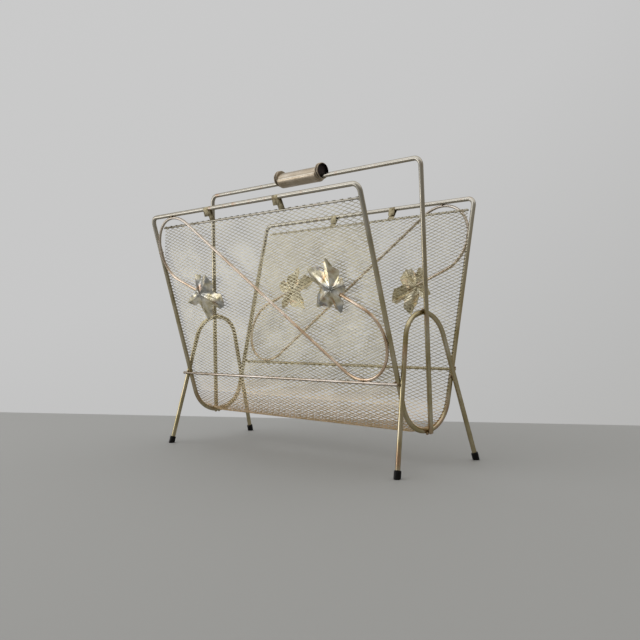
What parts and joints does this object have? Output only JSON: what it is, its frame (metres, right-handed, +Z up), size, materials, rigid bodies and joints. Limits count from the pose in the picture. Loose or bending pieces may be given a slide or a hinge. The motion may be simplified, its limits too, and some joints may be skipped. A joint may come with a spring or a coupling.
{
  "type": "magazine rack",
  "caption": "Wire magazine rack: bent hoops hold an open mesh trough on splayed arched legs with rubber feet; scrolls and stamped leaves adorn its sides, and a tall handle has a turning grip.",
  "frame": {"origin": "on the floor, under the middle of the rack", "axes": "+X along the rack, -Y towards its front, +Z up"},
  "size_m": [0.4546, 0.2318, 0.396],
  "materials": {
    "plated_wire": "champagne-gold plating on steel wire, dulled and worn",
    "mesh_metal": "champagne-gold plating on fine expanded sheet, coppery towards the bottom",
    "leaf_plating": "bright stamped sheet, champagne gold",
    "grip_metal": "satin brown-gold rolled sheet",
    "clip_metal": "darkened folded strip",
    "weld_metal": "dull brazed bead",
    "foot_rubber": "matte black rubber"
  },
  "bodies": {
    "frame": {"frame_welds": "weld_metal", "front_hoop": "plated_wire", "front_left_clip": "clip_metal", "front_left_foot_cap": "foot_rubber", "front_left_leaf": "leaf_plating", "front_mesh_panel": "mesh_metal", "front_mesh_rod": "plated_wire", "front_right_clip": "clip_metal", "front_right_foot_cap": "foot_rubber", "front_right_leaf": "leaf_plating", "front_scroll_wire": "plated_wire", "front_stretcher": "plated_wire", "handle_frame": "plated_wire", "left_leg_arch": "plated_wire", "mesh_trough": "mesh_metal", "rear_hoop": "plated_wire", "rear_left_clip": "clip_metal", "rear_left_foot_cap": "foot_rubber", "rear_left_leaf": "leaf_plating", "rear_mesh_panel": "mesh_metal", "rear_mesh_rod": "plated_wire", "rear_right_clip": "clip_metal", "rear_right_foot_cap": "foot_rubber", "rear_right_leaf": "leaf_plating", "rear_scroll_wire": "plated_wire", "rear_stretcher": "plated_wire", "right_leg_arch": "plated_wire", "side_welds": "weld_metal"},
    "grip": {"handle_grip": "grip_metal"}
  },
  "joints": [
    {"name": "grip_turn", "type": "hinge", "parent": "frame", "child": "grip", "pos_m": [0, 0, 0.378], "axis": [1, 0, 0], "continuous": true}
  ]
}
